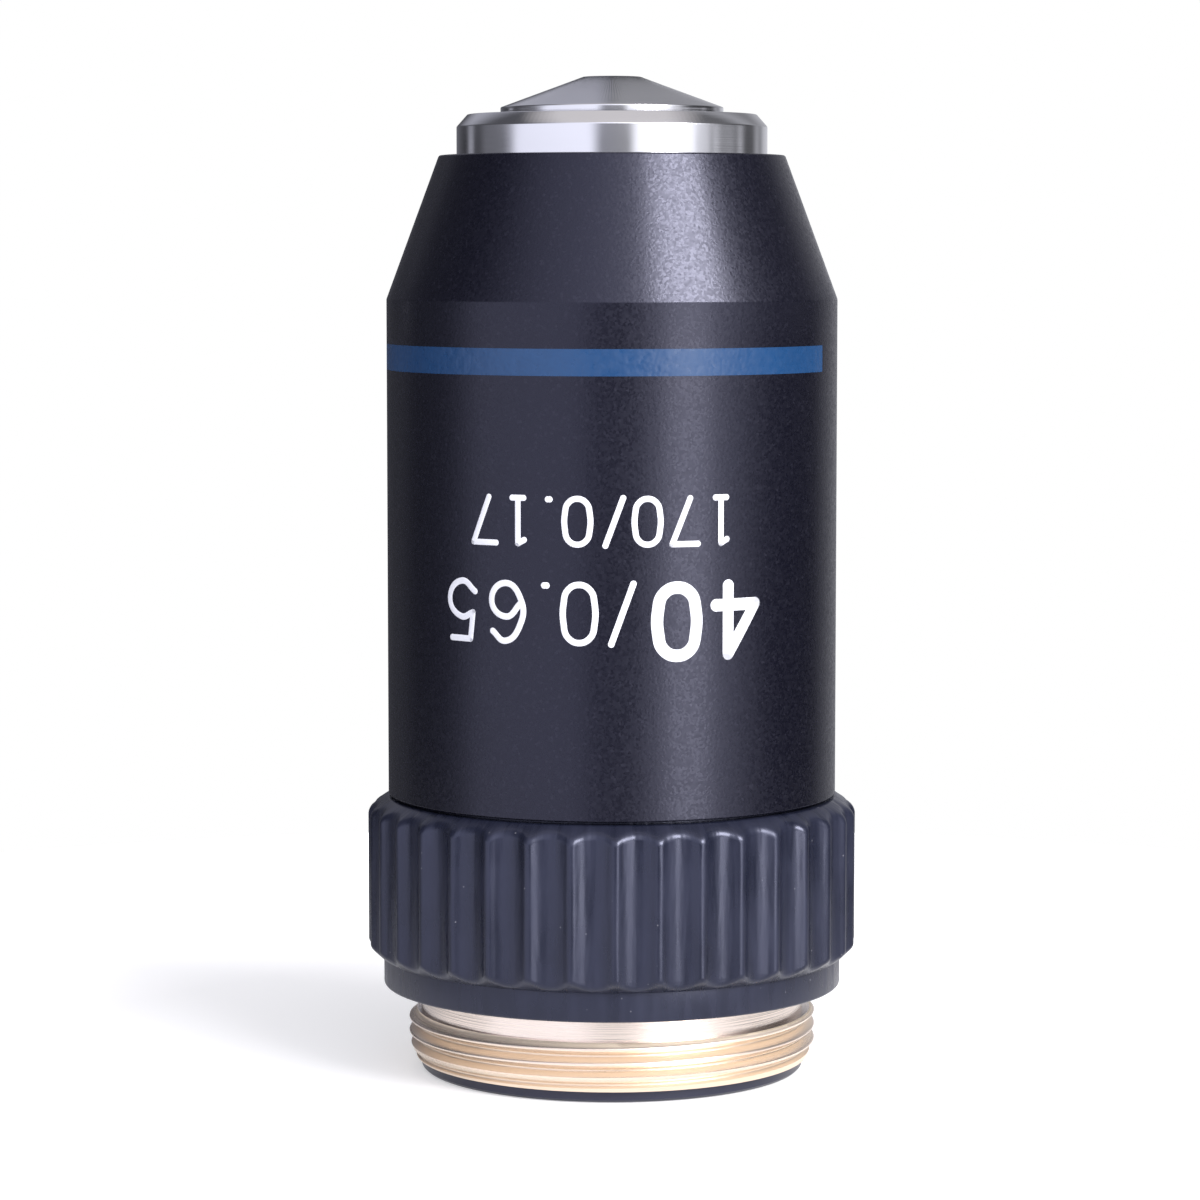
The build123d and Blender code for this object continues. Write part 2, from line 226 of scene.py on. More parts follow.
def makeBarrel(b):
    corners = [
        (b["bore"], b["bottom"]), (b["radius"], b["bottom"]), (b["radius"], b["bandLow"]),
        (b["radius"], b["bandHigh"]), (b["radius"], b["cone"]), (b["rimRadius"], b["rim"]),
        (b["guide"], b["rim"]), (b["guide"], b["ledge"]), (b["bore"], b["ledge"]),
    ]
    piece = turnPiece("barrelShell", corners, [corners[1], corners[5], corners[6]], b["edge"],
                      b["sides"], b["bandStart"] - 90)
    roundEdges(piece, [corners[4]], b["coneEdge"], 2)
    # the faces of the band's arc are pushed in to make its groove
    evenNormals()
    selectWhere(piece, lambda place: inBand(place, b))
    bpy.ops.mesh.extrude_region_shrink_fatten(TRANSFORM_OT_shrink_fatten={"value": b["bandDepth"] * mm})
    shadeTurned(piece)
    return piece


def makeBand(b):
    # the enamel fills the groove: one face of its section, spun through the same arc
    depth = b["bandDepth"] - b["bandGap"]
    low = b["bandLow"] + b["bandGap"]
    high = b["bandHigh"] - b["bandGap"]
    startAlone()
    bpy.ops.mesh.primitive_plane_add(
        size=1, rotation=(pi / 2, 0, 0),
        location=((b["radius"] - depth / 2) * mm, 0, (low + high) / 2 * mm))
    piece = bpy.context.object
    piece.scale = (depth * mm, (high - low) * mm, 1)
    settle("bandEnamel")
    piece.rotation_euler = (0, 0, radians(b["bandStart"] + b["bandEndGap"]))
    settle()
    bpy.ops.object.mode_set(mode="EDIT")
    bpy.ops.mesh.select_all(action="SELECT")
    steps = round(b["sides"] * b["bandArc"] / 360)
    arc = radians(b["bandArc"] - 2 * b["bandEndGap"])
    bpy.ops.mesh.spin(steps=steps, angle=-arc, center=(0, 0, 0), axis=(0, 0, 1))
    # the first face was left behind at the start of the spin, as the end wall
    shadeTurned(piece)
    return piece


shell = makeBarrel(barrel)
standFor(shell, "outer_barrel", "barrel")
band = makeBand(barrel)
standFor(band, "colour_band", "barrel")
print("barrel turned,", len(shell.data.polygons), "faces, with its band,", len(band.data.polygons))


# Knurled collar: every flute has the same twenty places round it, so each place is moved as one set

collar = {
    "flutes": 36, "places": 20, "start": 0.6, "crest": 12.12, "floor": 11.74,
    "cutter": 1.36, "crestHalf": 0.71,
    "knurlBottom": 5.65, "footRadius": 11.5, "footTop": 6.2,
    "chamferBottom": 12.96, "knurlTop": 13.6, "topRadius": 11.15,
    "bandRadius": 11.36, "shoulder": 4.21, "recess": 10.25, "recessTop": 4.46, "bushBore": 8.93,
    "bushTop": 11.01, "guide": 7.69, "spigotTop": 20.0, "spigot": 9.67, "seat": 13.72, "seatRadius": 10.6,
    "pinHole": 0.78, "pinHeight": 16.7,
    "edge": 0.09, "lowEdge": 0.12, "topScallop": 0.3, "footScallop": 0.15,
    "middle": 9.0, "reach": 3.0,  # where the first ring is drawn, and how far each new one is pulled off
}


def fluteRadius(c, place):
    # radius of the outline at one of the places, with the crest at place 0
    step = 360 / c["flutes"] / c["places"]
    fromCrest = min(place, c["places"] - place) * step
    if fromCrest < c["crestHalf"]:
        return c["crest"]
    centre = c["floor"] + c["cutter"]
    turn = radians(180 / c["flutes"] - fromCrest)
    return centre * cos(turn) - sqrt(c["cutter"]**2 - (centre * sin(turn))**2)


def placeOf(point, c):
    step = 360 / c["flutes"] / c["places"]
    return round((degrees(atan2(point.y, point.x)) - c["start"]) / step) % c["places"]


def moveFlutes(piece, c, start, end, radii):
    # moves the ring at the start heights to the end heights and scales it, one set of places at a time
    for place in range(c["places"]):
        selectWhere(piece, lambda p: abs(p.z - start[place] * mm) < near and placeOf(p, c) == place)
        if abs(radii[place] - 1) > 1e-9:
            bpy.ops.transform.resize(value=(radii[place], radii[place], 1))
        if abs(end[place] - start[place]) > 1e-9:
            bpy.ops.transform.translate(value=(0, 0, (end[place] - start[place]) * mm))


def roundScallops(piece, c, outline, heights, width):
    # rounds the scalloped edge that has this outline and these heights, place by place
    selectWhere(piece, lambda p: onRing(p, outline[placeOf(p, c)], heights[placeOf(p, c)]))
    bpy.ops.mesh.bevel(offset=width * mm, segments=4, affect="EDGES")


def makeCollar(c):
    places, middle, reach = c["places"], c["middle"], c["reach"]
    outline = [fluteRadius(c, place) for place in range(places)]
    topSlope = (c["knurlTop"] - c["chamferBottom"]) / (c["crest"] - c["topRadius"])
    tops = [c["chamferBottom"] + (c["crest"] - radius) * topSlope for radius in outline]
    footSlope = (c["footTop"] - c["knurlBottom"]) / (c["crest"] - c["footRadius"])
    feet = [c["footTop"] - (c["crest"] - radius) * footSlope for radius in outline]
    # the fluted wall between its two scalloped edges
    level = [middle] * places
    alike = [1.0] * places
    piece = firstRing("collarKnurl", c["crest"], middle, c["flutes"] * places, c["start"])
    moveFlutes(piece, c, level, level, [radius / c["crest"] for radius in outline])
    bpy.ops.mesh.select_all(action="SELECT")
    extrudeBy(0, reach)
    moveFlutes(piece, c, [middle + reach] * places, tops, alike)
    moveFlutes(piece, c, level, feet, alike)
    # the chamfer above ends in a plain circle, and so does the one below
    chamfers = ((1, tops, c["topRadius"], c["knurlTop"]), (-1, feet, c["footRadius"], c["knurlBottom"]))
    for way, edge, radius, height in chamfers:
        selectWhere(piece, lambda p: (p.z - middle * mm) * way > 0)
        extrudeBy(0, way * reach)
        pulled = [start + way * reach for start in edge]
        moveFlutes(piece, c, pulled, [height] * places, [radius / wall for wall in outline])
    # the plain rest of the section, from the foot round through the bores to the top
    section = [
        (c["footRadius"], c["knurlBottom"]), (c["bandRadius"], c["knurlBottom"]),
        (c["bandRadius"], c["shoulder"]), (c["recess"], c["shoulder"]), (c["recess"], c["recessTop"]),
        (c["bushBore"], c["recessTop"]), (c["bushBore"], c["bushTop"]), (c["guide"], c["bushTop"]),
        (c["guide"], c["spigotTop"]), (c["spigot"], c["spigotTop"]), (c["spigot"], c["seat"]),
        (c["seatRadius"], c["seat"]), (c["seatRadius"], c["knurlTop"]),
    ]
    top = (c["topRadius"], c["knurlTop"])
    selectRings(piece, [section[0]])
    followSection(section)
    joinRings(piece, section[-1], top)
    roundEdges(piece, [section[2]], c["lowEdge"])
    roundEdges(piece, [top, section[0]], c["edge"])
    roundScallops(piece, c, outline, tops, c["topScallop"])
    roundScallops(piece, c, outline, feet, c["footScallop"])
    shadeTurned(piece, 50)
    # the hole that the guide pin sits in
    cutWith(piece, crossBar(c["pinHole"], c["spigot"], c["pinHeight"]))
    bpy.ops.object.mode_set(mode="OBJECT")
    return piece


knurl = makeCollar(collar)
standFor(knurl, "knurled_collar", "barrel")
print("collar fluted,", len(knurl.data.polygons), "faces")


# Thread bush: 36 turns to the inch at 55 degrees, chamfered at both ends, with the plain neck above

bush = {
    "crest": 10.12, "pitch": 0.7056, "depth": 0.452, "flank": 27.5, "tipRound": 0.097,
    "low": 0.55, "high": 2.93, "leadIn": (0.37, 0.9), "runOut": (0.25, 0.12),
    "bore": 8.0, "neck": 9.5, "neckTop": 4.46, "neckOverlap": 0.6, "spigot": 8.9, "top": 10.71,
    "startBelow": 1.26,  # how far under the low end the sweep starts, in pitches
    "turns": 6, "sides": 128,
}


def threadSection(b):
    # one turn from root to root, with rounded crest and roots, as (radius, height)
    root = b["crest"] - b["depth"]
    low = []
    for part in (0, 0.5, 1):
        turn = radians((90 - b["flank"]) * part)
        low.append((root + b["tipRound"] * (1 - cos(turn)), b["tipRound"] * sin(turn)))
    high = [(b["crest"] + root - radius, b["pitch"] / 2 - rise) for radius, rise in reversed(low)]
    half = low + high
    return half + [(radius, b["pitch"] - rise) for radius, rise in reversed(half[:-1])]


def screwThread(b):
    section = threadSection(b)
    start = b["low"] - b["startBelow"] * b["pitch"]
    startAlone()
    bpy.ops.mesh.primitive_plane_add(size=mm, location=(section[0][0] * mm, 0, start * mm))
    piece = settle("threadBush")
    bpy.ops.object.mode_set(mode="EDIT")
    bpy.ops.mesh.select_all(action="SELECT")
    bpy.ops.mesh.merge(type="CENTER")
    for point, after in zip(section, section[1:]):
        extrudeBy(after[0] - point[0], after[1] - point[1])
    bpy.ops.object.mode_set(mode="OBJECT")
    screwUp(piece, b["pitch"], 1, b["sides"], b["turns"])
    bpy.ops.mesh.remove_doubles(threshold=1e-6)
    cutEnds(b["low"], b["high"])
    evenNormals()
    bpy.ops.object.mode_set(mode="OBJECT")
    return piece


def turnSolid(name, corners, count):
    # a closed solid: the disc at its foot, extruded along the rest of its section
    piece = firstRing(name, *corners[0], count)
    bpy.ops.mesh.edge_face_add()
    selectRings(piece, [corners[0]])
    followSection(corners)
    evenNormals()
    bpy.ops.object.mode_set(mode="OBJECT")
    return piece


def makeBush(b):
    piece = screwThread(b)
    over, past = 0.02, 0.01  # how far the envelope stands clear of the crests and of both ends
    wide = b["crest"] + over
    bottom = b["crest"] - b["leadIn"][0]
    top = b["crest"] - b["runOut"][0]
    envelope = turnSolid("threadEnvelope", [
        (bottom, b["low"] - past), (bottom, b["low"]), (wide, b["low"] + b["leadIn"][1]),
        (wide, b["high"] - b["runOut"][1]), (top, b["high"]), (top, b["high"] + past)], b["sides"])
    cutWith(piece, envelope, "INTERSECT")
    plain = turnSolid("plainNeck", [
        (b["neck"], b["high"] - b["neckOverlap"]), (b["neck"], b["neckTop"]),
        (b["spigot"], b["neckTop"]), (b["spigot"], b["top"])], b["sides"])
    cutWith(piece, plain, "UNION")
    through = turnSolid("bushBore", [(b["bore"], -1.0), (b["bore"], b["top"] + 1.0)], b["sides"])
    cutWith(piece, through)
    # what the booleans left doubled or without area
    bpy.ops.mesh.select_all(action="SELECT")
    bpy.ops.mesh.remove_doubles(threshold=3e-6)
    bpy.ops.mesh.dissolve_degenerate(threshold=1e-6)
    shadeTurned(piece, 40)
    return piece


threads = makeBush(bush)
standFor(threads, "thread_mount", "barrel")
print("thread screwed,", len(threads.data.polygons), "faces")


# Return spring: round wire with both ends ground flat, coiled at one length, though in the objective it
# shortens as the nose slides in

spring = {
    "radius": 8.665, "wire": 0.4, "low": 20.8, "high": 37.18, "turns": 8.5, "travel": 1.8,
    "stepsPerTurn": 48, "sides": 16,
}


def coilSpring(s):
    startAlone()
    bpy.ops.mesh.primitive_circle_add(
        vertices=s["sides"], radius=s["wire"] * mm, location=(s["radius"] * mm, 0, s["low"] * mm),
        rotation=(pi / 2, 0, 0))
    piece = settle("returnSpring")
    screwUp(piece, s["high"] - s["low"], s["turns"], round(s["stepsPerTurn"] * s["turns"]))
    bpy.ops.mesh.fill_holes(sides=0)
    cutEnds(s["low"], s["high"])
    shadeTurned(piece, 40)
    return piece


coil = coilSpring(spring)
standFor(coil, "return_spring", "barrel")
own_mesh(coil)
print("spring coiled,", len(coil.data.polygons), "faces")


# Nose: the sliding tube with its bevelled front, and the cone of the front cell

nose = {
    "tube": 7.63, "front": 47.17, "bevelRadius": 7.1, "bevelBottom": 46.57, "ledge": 39.2,
    "flange": 9.62, "flangeBottom": 37.2, "relief": 7.33, "reliefBottom": 21.8, "rear": 13.4,
    "bore": 5.9, "step": 42.2, "frontBore": 4.73, "slotWidth": 1.62, "slotLow": 16.7, "slotHigh": 18.5,
    "cellEdge": 5.47, "cellEdgeTop": 47.52, "tip": 1.4, "tipTop": 49.02, "lens": 1.08,
    "lensBevel": 1.53, "lensBevelBottom": 48.27, "cellFloor": 46.42, "cellBore": 3.4,
    "cellSpigot": 4.7, "cellRear": 43.17, "edge": 0.04, "sides": 192,
}


def makeTube(n):
    corners = [
        (n["frontBore"], n["front"]), (n["bevelRadius"], n["front"]), (n["tube"], n["bevelBottom"]),
        (n["tube"], n["ledge"]), (n["flange"], n["ledge"]), (n["flange"], n["flangeBottom"]),
        (n["relief"], n["flangeBottom"]), (n["relief"], n["reliefBottom"]), (n["tube"], n["reliefBottom"]),
        (n["tube"], n["rear"]), (n["bore"], n["rear"]), (n["bore"], n["step"]), (n["frontBore"], n["step"]),
    ]
    piece = turnPiece("noseTube", corners, corners[1:3], n["edge"], n["sides"])
    # the slot for the guide pin, with its two round ends
    middle = (n["slotLow"] + n["slotHigh"]) / 2
    cutter = crossBar(n["slotWidth"] / 2, n["tube"], middle)
    bpy.ops.object.mode_set(mode="EDIT")
    for way in (-1, 1):
        selectWhere(cutter, lambda place: (place.z - middle * mm) * way > near)
        bpy.ops.transform.translate(value=(0, 0, way * (n["slotHigh"] - n["slotLow"]) / 2 * mm))
    cutWith(piece, cutter)
    shadeTurned(piece)
    return piece


def makeCell(n):
    corners = [
        (n["lens"], n["tipTop"]), (n["tip"], n["tipTop"]), (n["cellEdge"], n["cellEdgeTop"]),
        (n["cellEdge"], n["front"]), (n["cellSpigot"], n["front"]), (n["cellSpigot"], n["cellRear"]),
        (n["cellBore"], n["cellRear"]), (n["cellBore"], n["cellFloor"]), (n["lensBevel"], n["cellFloor"]),
        (n["lensBevel"], n["lensBevelBottom"]),
    ]
    piece = turnPiece("noseCone", corners, corners[1:4], n["edge"], n["sides"])
    shadeTurned(piece, 25)
    return piece


tube = makeTube(nose)
standFor(tube, "lens_tube", "nose")
cone = makeCell(nose)
standFor(cone, "front_cell", "nose")
print("nose turned,", len(tube.data.polygons), "and", len(cone.data.polygons), "faces")


# Figures: white strokes with round ends, laid out flat and bent round the barrel, upside down as it stands

figures = {
    "radius": 11.1, "proud": 0.012, "sink": 0.02,
    "cuts": 40, "cutEvery": 0.25,  # on each side of the middle, so that the strokes can bend
    "small": {"words": "170/0.17", "line": 29.15, "tall": 2.45, "stroke": 0.3,
              "centres": (-5.31, -3.47, -1.65, -0.08, 1.66, 3.03, 4.58, 6.38)},
    "light": {"words": "/0.65", "line": 25.12, "tall": 3.06, "stroke": 0.32,
              "centres": (-0.46, 1.58, 3.2, 5.2, 7.75)},
    "bold": {"words": "40", "line": 25.12, "tall": 3.84, "stroke": 0.62,
             "centres": (-6.14, -3.08)},
}

# each sign: its bends as open curves, its closed loops, and its straight runs, on a box one high
signs = {
    "0": {"loops": [((0, 1), (0.18, 0.9), (0.24, 0.68), (0.24, 0.32), (0.18, 0.1),
                     (0, 0), (-0.18, 0.1), (-0.24, 0.32), (-0.24, 0.68), (-0.18, 0.9))]},
    "1": {"runs": [((0, 0), (0, 1)), ((0, 1), (-0.13, 0.92)), ((-0.12, 0), (0.12, 0))]},
    "4": {"runs": [((0.11, 0), (0.11, 1)), ((0.11, 1), (-0.29, 0.28)), ((-0.29, 0.28), (0.28, 0.28))]},
    "5": {"runs": [((0.21, 1), (-0.17, 1)), ((-0.17, 1), (-0.22, 0.54))],
          "bends": [((-0.22, 0.54), (0.02, 0.62), (0.26, 0.31), (0, 0), (-0.26, 0.17))]},
    "6": {"bends": [((0.24, 0.84), (0.02, 1), (-0.25, 0.68), (-0.26, 0.3), (0.01, 0), (0.26, 0.3),
                     (0.01, 0.58), (-0.25, 0.34))]},
    "7": {"runs": [((-0.26, 1), (0.26, 1)), ((0.26, 1), (-0.1, 0))]},
    "/": {"runs": [((-0.17, -0.02), (0.17, 1.02))]},
    ".": {"runs": [((-0.02, 0.02), (0.02, 0.02))]},
}


def drawStroke(name, kind, points, centre, row):
    # one stroke as a round wire; its ends get a ball of the same width
    radius = row["stroke"] / 2
    tall = row["tall"] - row["stroke"]
    places = [((centre + x * row["tall"]) * mm, (radius + y * tall) * mm, 0) for x, y in points]
    line = bpy.data.curves.new(name, "CURVE")
    line.dimensions = "3D"
    line.bevel_depth = radius * mm
    line.bevel_resolution = 5
    line.resolution_u = 10
    line.use_fill_caps = True
    spline = line.splines.new("BEZIER")
    spline.bezier_points.add(len(places) - 1)
    for point, place in zip(spline.bezier_points, places):
        point.co = place
        point.handle_left_type = "VECTOR" if kind == "runs" else "AUTO"
        point.handle_right_type = point.handle_left_type
    spline.use_cyclic_u = kind == "loops"
    wire = bpy.data.objects.new(name, line)
    bpy.context.collection.objects.link(wire)
    takeUp(wire)
    bpy.ops.object.convert(target="MESH")
    made = [bpy.context.object]
    if kind != "loops":
        for place in (places[0], places[-1]):
            bpy.ops.mesh.primitive_uv_sphere_add(
                segments=24, ring_count=12, radius=radius * mm, location=place)
            made.append(settle())
    return made


def writeRow(name, row, f):
    made = []
    for index, (sign, centre) in enumerate(zip(row["words"], row["centres"])):
        for kind, lines in signs[sign].items():
            for number, points in enumerate(lines):
                made += drawStroke(f"{name}{index}{kind}{number}", kind, points, centre, row)
    takeUp(*made)
    bpy.ops.object.join()
    piece = settle(name)
    # flattened to a film, cut into short lengths, stood up and turned upside down
    bpy.ops.object.mode_set(mode="EDIT")
    bpy.ops.mesh.select_all(action="SELECT")
    thick = (f["proud"] + f["sink"]) / row["stroke"]
    bpy.ops.transform.resize(value=(1, 1, thick), center_override=(0, 0, 0))
    for step in range(-f["cuts"], f["cuts"] + 1):
        bpy.ops.mesh.select_all(action="SELECT")
        bpy.ops.mesh.bisect(plane_co=(step * f["cutEvery"] * mm, 0, 0), plane_no=(1, 0, 0), threshold=1e-7)
    bpy.ops.object.mode_set(mode="OBJECT")
    piece.rotation_euler = (pi / 2, pi, 0)
    return settle()


def bendRound(piece, row, f):
    # each point keeps its height, and its distance along the line becomes an arc
    middle = f["radius"] + (f["proud"] - f["sink"]) / 2
    for vertex in piece.data.vertices:
        along, out, up = vertex.co
        turn = along / (f["radius"] * mm)
        across = middle * mm - out
        vertex.co = (across * sin(turn), -across * cos(turn), row["line"] * mm + up)
    takeUp(piece)
    bpy.ops.object.mode_set(mode="EDIT")
    evenNormals()
    bpy.ops.object.mode_set(mode="OBJECT")
    bpy.ops.object.shade_smooth_by_angle(angle=radians(40))


for rowName in ("small", "light", "bold"):
    marks = writeRow(rowName + "Figures", figures[rowName], figures)
    bendRound(marks, figures[rowName], figures)
    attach(marks, "barrel")
print("figures written")


# Shader node groups that several finishes share

def newGroup(name, inputs, outputs):
    group = bpy.data.node_groups.new(name, "ShaderNodeTree")
    for label, value in inputs.items():
        socket = group.interface.new_socket(name=label, in_out="INPUT", socket_type="NodeSocketFloat")
        socket.default_value = value
    for label in outputs:
        group.interface.new_socket(name=label, in_out="OUTPUT", socket_type="NodeSocketFloat")
    return group, group.nodes.new("NodeGroupInput").outputs, group.nodes.new("NodeGroupOutput").inputs


def addMath(tree, operation, first, second=None):
    node = tree.nodes.new("ShaderNodeMath")
    node.operation = operation
    for socket, value in zip(node.inputs, (first, second)):
        if value is None:
            continue
        if isinstance(value, (int, float)):
            socket.default_value = value
        else:
            tree.links.new(value, socket)
    return node.outputs[0]


def addNoise(tree, vector, scale, detail=2.0, rough=0.5):
    node = tree.nodes.new("ShaderNodeTexNoise")
    node.inputs["Detail"].default_value = detail
    node.inputs["Roughness"].default_value = rough
    tree.links.new(scale, node.inputs["Scale"])
    tree.links.new(vector, node.inputs["Vector"])
    return node.outputs["Fac"]


def addCells(tree, vector, scale):
    # small cells: each has an even number between 0 and 1 in red and another in green
    node = tree.nodes.new("ShaderNodeTexVoronoi")
    tree.links.new(vector, node.inputs["Vector"])
    tree.links.new(scale, node.inputs["Scale"])
    tint = tree.nodes.new("ShaderNodeSeparateColor")
    tree.links.new(node.outputs["Color"], tint.inputs[0])
    return {"red": tint.outputs[0], "green": tint.outputs[1], "distance": node.outputs["Distance"]}


def addRange(tree, value, low, high, newLow, newHigh):
    node = tree.nodes.new("ShaderNodeMapRange")
    tree.links.new(value, node.inputs["Value"])
    for label, number in (("From Min", low), ("From Max", high), ("To Min", newLow), ("To Max", newHigh)):
        node.inputs[label].default_value = number
    return node.outputs["Result"]


def objectPlace(tree):
    return tree.nodes.new("ShaderNodeTexCoord").outputs["Object"]


def splitPlace(tree, place):
    split = tree.nodes.new("ShaderNodeSeparateXYZ")
    tree.links.new(place, split.inputs[0])
    return split.outputs


def joinPlace(tree, *sides):
    joined = tree.nodes.new("ShaderNodeCombineXYZ")
    for side, socket in zip(sides, joined.inputs):
        if side is not None:
            tree.links.new(side, socket)
    return joined.outputs[0]


def fromAxis(tree, x, y):
    squares = [addMath(tree, "MULTIPLY", side, side) for side in (x, y)]
    return addMath(tree, "SQRT", addMath(tree, "ADD", *squares))


def roundAxis(tree, x, y, scale):
    return addMath(tree, "MULTIPLY", addMath(tree, "ARCTAN2", y, x), scale)


def makeTurnedLines():
    # fine lines left by the lathe: they follow the distance from the axis and the height
    group, inside, outside = newGroup("turnedLines", {"Lines per metre": 9000.0}, ["Height", "Wide"])
    drift, widePart = 0.00004, 0.12  # a slight change round the axis, and the share of lines that are wide
    x, y, z = splitPlace(group, objectPlace(group))
    place = joinPlace(group, fromAxis(group, x, y), roundAxis(group, x, y, drift), z)
    group.links.new(addNoise(group, place, inside[0], detail=3.0, rough=0.6), outside["Height"])
    wide = addMath(group, "MULTIPLY", inside[0], widePart)
    group.links.new(addNoise(group, place, wide, detail=1.0), outside["Wide"])
    return group


def makeGrain():
    # fine pebbled skin of a sprayed or blasted finish, with larger soft patches, and painted glints: paler
    # cells that stand for sparkle
    group, inside, outside = newGroup(
        "fineGrain", {"Grains per metre": 7000.0, "Patches per metre": 120.0},
        ["Height", "Patch", "Sparkle", "Grit"])
    # the sparkling cells are painted glints
    cellsPerGrain, sparkling = 1.2, 0.86  # cells above the second number sparkle
    place = objectPlace(group)
    group.links.new(addNoise(group, place, inside[0], detail=1.0, rough=0.6), outside["Height"])
    group.links.new(addNoise(group, place, inside[1], detail=3.0, rough=0.55), outside["Patch"])
    cells = addCells(group, place, addMath(group, "MULTIPLY", inside[0], cellsPerGrain))
    group.links.new(addRange(group, cells["red"], sparkling, 1.0, 0.0, 1.0), outside["Sparkle"])
    group.links.new(cells["green"], outside["Grit"])
    return group


def makeDust():
    # a few small pale specks, each in the middle of its own cell
    group, inside, outside = newGroup("dustSpecks", {"Specks per metre": 900.0, "Amount": 0.05}, ["Mask"])
    core, edge = 0.06, 0.13  # of a speck, in widths of its cell
    cells = addCells(group, objectPlace(group), inside[0])
    chosen = addMath(group, "LESS_THAN", cells["red"], inside[1])
    speck = addRange(group, cells["distance"], core, edge, 1.0, 0.0)
    group.links.new(addMath(group, "MULTIPLY", chosen, speck), outside["Mask"])
    return group


def makeStreaks(c):
    # soft upright streaks, which let a glint wander along a flute; their height fades out at the foot
    group, inside, outside = newGroup("uprightStreaks", {"Streaks per metre": 1500.0}, ["Height", "Streak"])
    drawnOut = 0.15  # the height is squeezed so much that the noise grows upright
    x, y, z = splitPlace(group, objectPlace(group))
    around = roundAxis(group, x, y, c["crest"] * mm)
    place = joinPlace(group, around, None, addMath(group, "MULTIPLY", z, drawnOut))
    streak = addNoise(group, place, inside[0])
    aboveFoot = addRange(group, z, c["knurlBottom"] * mm, c["footTop"] * mm, 0.0, 1.0)
    group.links.new(addMath(group, "MULTIPLY", streak, aboveFoot), outside["Height"])
    group.links.new(streak, outside["Streak"])
    return group


turnedLines = makeTurnedLines()
uprightStreaks = makeStreaks(collar)
fineGrain = makeGrain()
dustSpecks = makeDust()


# What every finish is made with

def newFinish(name, values):
    # a Principled surface whose even values sit on its own sockets
    finish = bpy.data.materials.new(name)
    finish.use_nodes = True
    tree = finish.node_tree
    surface = tree.nodes["Principled BSDF"]
    for label, value in values.items():
        surface.inputs[label].default_value = value
    return tree, surface, finish


def useGroup(tree, group, values):
    node = tree.nodes.new("ShaderNodeGroup")
    node.node_tree = group
    for label, value in values.items():
        node.inputs[label].default_value = value
    return node.outputs


def addBump(tree, surface, height, strength, distance):
    bump = tree.nodes.new("ShaderNodeBump")
    bump.inputs["Strength"].default_value = strength
    bump.inputs["Distance"].default_value = distance
    tree.links.new(height, bump.inputs["Height"])
    tree.links.new(bump.outputs[0], surface.inputs["Normal"])


def mixColour(tree, factor, first, second):
    node = tree.nodes.new("ShaderNodeMix")
    node.data_type = "RGBA"
    tree.links.new(factor, node.inputs["Factor"])
    for label, value in (("A", first), ("B", second)):
        socket = [one for one in node.inputs if one.name == label and one.type == "RGBA"][0]
        if isinstance(value, tuple):
            socket.default_value = value
        else:
            tree.links.new(value, socket)
    return [one for one in node.outputs if one.type == "RGBA"][0]


middling = (0.3, 0.7)  # where most of a noise's values lie

# "even" holds what is the same all over, "bump" its strength and its depth in metres

paint = {
    "dark": (0.002, 0.002, 0.0055, 1), "pale": (0.0035, 0.0035, 0.008, 1),
    # the spark colour is for the painted glints
    "spark": (0.008, 0.008, 0.014, 1),
    "even": {"Specular IOR Level": 0.52, "Specular Tint": (0.76, 0.77, 1, 1)},
    "grain": {"Grains per metre": 7000.0, "Patches per metre": 150.0},
    "roughness": (0.21, 0.37), "bump": (0.6, 0.000012),
}


def barrelPaint(p):
    tree, surface, finish = newFinish("barrelPaint", p["even"])
    grain = useGroup(tree, fineGrain, p["grain"])
    shade = mixColour(tree, grain["Patch"], p["dark"], p["pale"])
    # painted glints: the sparkling cells get the paler spark colour
    tree.links.new(mixColour(tree, grain["Sparkle"], shade, p["spark"]), surface.inputs["Base Color"])
    tree.links.new(addRange(tree, grain["Grit"], 0.0, 1.0, *p["roughness"]), surface.inputs["Roughness"])
    addBump(tree, surface, grain["Height"], *p["bump"])
    return finish


anodised = {
    "dark": (0.007, 0.0085, 0.018, 1), "pale": (0.014, 0.016, 0.031, 1),
    "dustColour": (0.13, 0.13, 0.15, 1),
    "even": {"Specular IOR Level": 0.62, "Specular Tint": (0.74, 0.77, 1, 1)},
    "grain": {"Grains per metre": 5000.0, "Patches per metre": 300.0},
    "streaks": {"Streaks per metre": 1500.0}, "dust": {"Specks per metre": 2400.0, "Amount": 0.1},
    "wornColour": (0.38, 0.62), "wornGloss": (0.35, 0.65), "roughness": (0.2, 0.4),
    "skin": 0.04, "bump": (0.7, 0.00008),
}


def collarBlack(a):
    # patches and streaks together say where it is worn; the fine skin is a small part of the bump
    tree, surface, finish = newFinish("collarBlack", a["even"])
    grain = useGroup(tree, fineGrain, a["grain"])
    streaks = useGroup(tree, uprightStreaks, a["streaks"])
    dust = useGroup(tree, dustSpecks, a["dust"])
    worn = addMath(tree, "MULTIPLY", addMath(tree, "ADD", grain["Patch"], streaks["Streak"]), 0.5)
    shade = mixColour(tree, addRange(tree, worn, *a["wornColour"], 0.0, 1.0), a["dark"], a["pale"])
    tree.links.new(mixColour(tree, dust["Mask"], shade, a["dustColour"]), surface.inputs["Base Color"])
    tree.links.new(addRange(tree, worn, *a["wornGloss"], *a["roughness"]), surface.inputs["Roughness"])
    skin = addMath(tree, "MULTIPLY", grain["Height"], a["skin"])
    addBump(tree, surface, addMath(tree, "ADD", streaks["Height"], skin), *a["bump"])
    return finish


